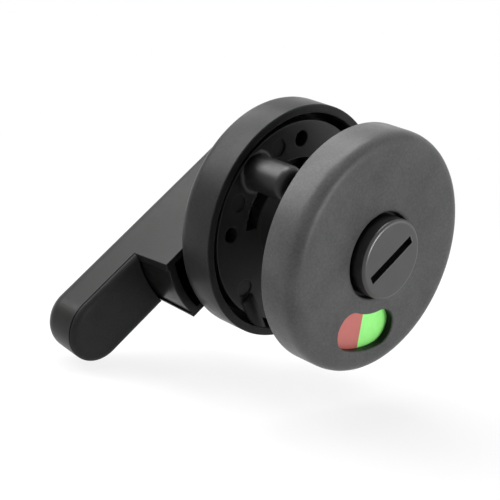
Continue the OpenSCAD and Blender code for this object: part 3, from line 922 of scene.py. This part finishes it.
# Each has a tone and a roughness. The black finish is only partly metallic.
zinc_steel = metal("zinc_steel", (0.62, 0.63, 0.64), 0.34)
spring_steel = metal("spring_steel", (0.42, 0.42, 0.43), 0.30)
black_steel = metal("black_steel", (0.025, 0.025, 0.026), 0.42, 0.4)
insert_brass = metal("insert_brass", (0.72, 0.52, 0.24), 0.32)
print("metals made, with a grain", METAL_GRAIN_SIZE, "mm wide")

# %% Finish the other solids
finishes = {
    "hub_bush": bush_acetal,
    "wave_washer": spring_steel,
    "through_bolts": black_steel,
    "bolt_washers": black_steel,
    "outside_base_plate": plate_nylon,
    "threaded_inserts": insert_brass,
    "clip_washer": spring_steel,
    "drive_plate": zinc_steel,
    "drive_screws": zinc_steel,
    "spindle": zinc_steel,
    "cross_pin": spring_steel,
    "indicator_disc": disc_plastic,
    "red_field": red_film,
    "green_field": green_film,
    "stem_clip": spring_steel,
}
for node, finish in finishes.items():
    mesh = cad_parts[node].data
    mesh.materials.clear()
    mesh.materials.append(finish)
print("finished solids:", len(finishes))

# %% [markdown]
# ## Camera
# The picture was taken from the front left, a little above, with the lock turned a few degrees on
# its axis. Those angles, the distance and the lens give the same perspective.

# %% Set the camera
azimuth = -44.206
elevation = 24.787
lock_turn = 14.02
distance = 361.34
aim_right = -25.93
aim_up = -1.78
focal_pixels = 1386.07
picture_pixels = 500
sensor = 36.0
clip_start = 0.01


def set_camera():
    """A camera at these angles and this distance, turned with the lock."""
    a, e = math.radians(azimuth), math.radians(elevation)
    right = Vector((math.cos(a), math.sin(a), 0))
    back = Vector((math.sin(a) * math.cos(e), -math.cos(a) * math.cos(e), math.sin(e)))
    up = back.cross(right)
    eye = (right * aim_right + up * aim_up + back * distance) * MM
    view = Matrix((right, up, back)).transposed().to_4x4()
    view.translation = eye
    turn = Matrix.Rotation(-math.radians(lock_turn), 4, "Y")
    data = bpy.data.cameras.new("camera")
    data.sensor_width = sensor
    data.lens = focal_pixels / picture_pixels * sensor
    data.clip_start = clip_start
    camera = bpy.data.objects.new("camera", data)
    bpy.context.scene.collection.objects.link(camera)
    camera.matrix_world = Matrix.Translation((0, -door_side * MM, 0)) @ turn @ view
    bpy.context.scene.camera = camera
    return camera


camera = set_camera()
print("camera at", [round(v, 3) for v in camera.location], "lens", round(camera.data.lens, 1))

# %% [markdown]
# ## Floor and light
# A product table: a round white sheet, soft lamps above, behind and to the left, and weaker light
# from the front and the right. Black nylon shows mostly what it mirrors, so the white round it
# matters as much as the lamps.
# The camera, and rays that are mirrored or pass through glass, see the world as white, and the sheet
# as nearly white, so that it keeps the shadow under the object. The other rays see real light.

# %% Rays that see the background
def background_rays(tree):
    """1 for the rays that show the background: from the camera, mirrored or through glass."""
    path = add(tree, "ShaderNodeLightPath").outputs
    seen = {0: path["Is Camera Ray"], 1: path["Is Glossy Ray"]}
    some = add(tree, "ShaderNodeMath", seen, operation="MAXIMUM").outputs[0]
    every = {0: some, 1: path["Is Transmission Ray"]}
    return add(tree, "ShaderNodeMath", every, operation="MAXIMUM").outputs[0]


print("camera, mirrored and transmitted rays see the background")

# %% Make the floor
floor_drop = 0.002
floor_r = 0.3
shadow_r = 0.16
shadow_white = 0.85
floor_tone = 0.85
floor_roughness = 0.9
FLOOR_STEPS = 96


def make_floor():
    """A round sheet, nearly white under the object and white at its edge."""
    bm = bmesh.new()
    bmesh.ops.create_circle(bm, cap_ends=True, segments=FLOOR_STEPS, radius=floor_r)
    mesh = bpy.data.meshes.new("floor")
    bm.to_mesh(mesh)
    bm.free()
    floor = bpy.data.objects.new("floor", mesh)
    floor.location = (0, 0, cad_low.z - floor_drop)
    bpy.context.scene.collection.objects.link(floor)
    material, tree, shader = node_tree("floor_white")
    shader.inputs["Base Color"].default_value = (floor_tone, floor_tone, floor_tone, 1)
    shader.inputs["Roughness"].default_value = floor_roughness
    where = add(tree, "ShaderNodeTexCoord").outputs["Object"]
    radius = add(tree, "ShaderNodeVectorMath", {0: where}, operation="LENGTH").outputs["Value"]
    fade = {
        "Value": radius,
        "From Min": shadow_r,
        "From Max": floor_r,
        "To Min": shadow_white,
        "To Max": 1.0,
    }
    white = add(tree, "ShaderNodeMapRange", fade).outputs["Result"]
    shown = {0: background_rays(tree), 1: white}
    share = add(tree, "ShaderNodeMath", shown, operation="MULTIPLY").outputs[0]
    glow = add(tree, "ShaderNodeEmission", {"Strength": 1.0}).outputs[0]
    mix = add(tree, "ShaderNodeMixShader", {0: share, 1: shader.outputs[0], 2: glow})
    tree.links.new(mix.outputs[0], tree.nodes["Material Output"].inputs["Surface"])
    mesh.materials.append(material)
    return floor


floor = make_floor()
print("floor at", round(floor.location.z, 3))

# %% Light the scene
world_level = 0.02
table_spot = (0, 0, -0.06)
lock_spot = (0, 0, -0.02)


def lamp(name, place_at, aim_at, size, power):
    """A square soft lamp that shines from one point to another."""
    data = bpy.data.lights.new(name, "AREA")
    data.size = size
    data.energy = power
    obj = bpy.data.objects.new(name, data)
    obj.visible_camera = False
    obj.location = place_at
    obj.rotation_mode = "QUATERNION"
    obj.rotation_quaternion = (Vector(aim_at) - Vector(place_at)).to_track_quat("-Z", "Y")
    bpy.context.scene.collection.objects.link(obj)


def set_world(level):
    """A world that shows white as a background and gives a little light of its own."""
    world = bpy.data.worlds.new("studio")
    bpy.context.scene.world = world
    world.use_nodes = True
    tree = world.node_tree
    shown = {"Value": background_rays(tree), "To Min": level, "To Max": 1.0}
    strength = add(tree, "ShaderNodeMapRange", shown).outputs["Result"]
    tree.nodes["Background"].inputs["Color"].default_value = (1, 1, 1, 1)
    tree.links.new(strength, tree.nodes["Background"].inputs["Strength"])


set_world(world_level)
# Each lamp has a place, an aim and a size in metres, and a power in watts.
lamp("top_lamp", (0, 0.12, 0.5), table_spot, 0.3, 3.0)
lamp("left_lamp", (-0.28, 0.28, 0.4), (-0.14, 0.14, -0.06), 0.3, 1.0)
lamp("back_lamp", (0.05, 0.4, 0.36), (0, 0.17, -0.06), 0.3, 1.0)
lamp("far_left_lamp", (-0.6, 0.72, 0.74), lock_spot, 0.8, 13.2)
lamp("right_lamp", (0.82, -0.82, 0.34), lock_spot, 0.8, 2.0)
lamp("front_lamp", (0.3, -1.1, 0.1), lock_spot, 0.5, 8.2)
bpy.context.scene.view_settings.view_transform = "Standard"
print("lamps set, world at", world_level)
